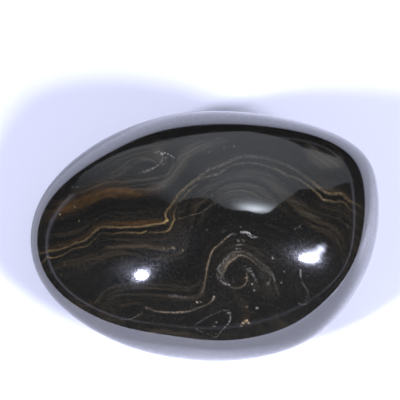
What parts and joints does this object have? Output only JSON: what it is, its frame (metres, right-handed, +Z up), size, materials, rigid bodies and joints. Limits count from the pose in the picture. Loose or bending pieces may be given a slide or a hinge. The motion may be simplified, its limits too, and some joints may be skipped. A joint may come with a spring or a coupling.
{
  "type": "polished stromatolite stone",
  "caption": "Lopsided egg-shaped stone of banded stromatolite, polished all over, lying on a small flat.",
  "frame": {"origin": "on the surface that the stone rests on, under the middle of its outline", "axes": "+X along the stone's length towards its thicker end, +Z up through the crown"},
  "size_m": [0.0786, 0.059, 0.0318],
  "materials": {
    "polished_stromatolite": "dark brown-black laminated stone with thin tan and golden veins, polished to a gloss"
  },
  "bodies": {
    "root": {"stromatolite_stone": "polished_stromatolite"}
  },
  "joints": []
}
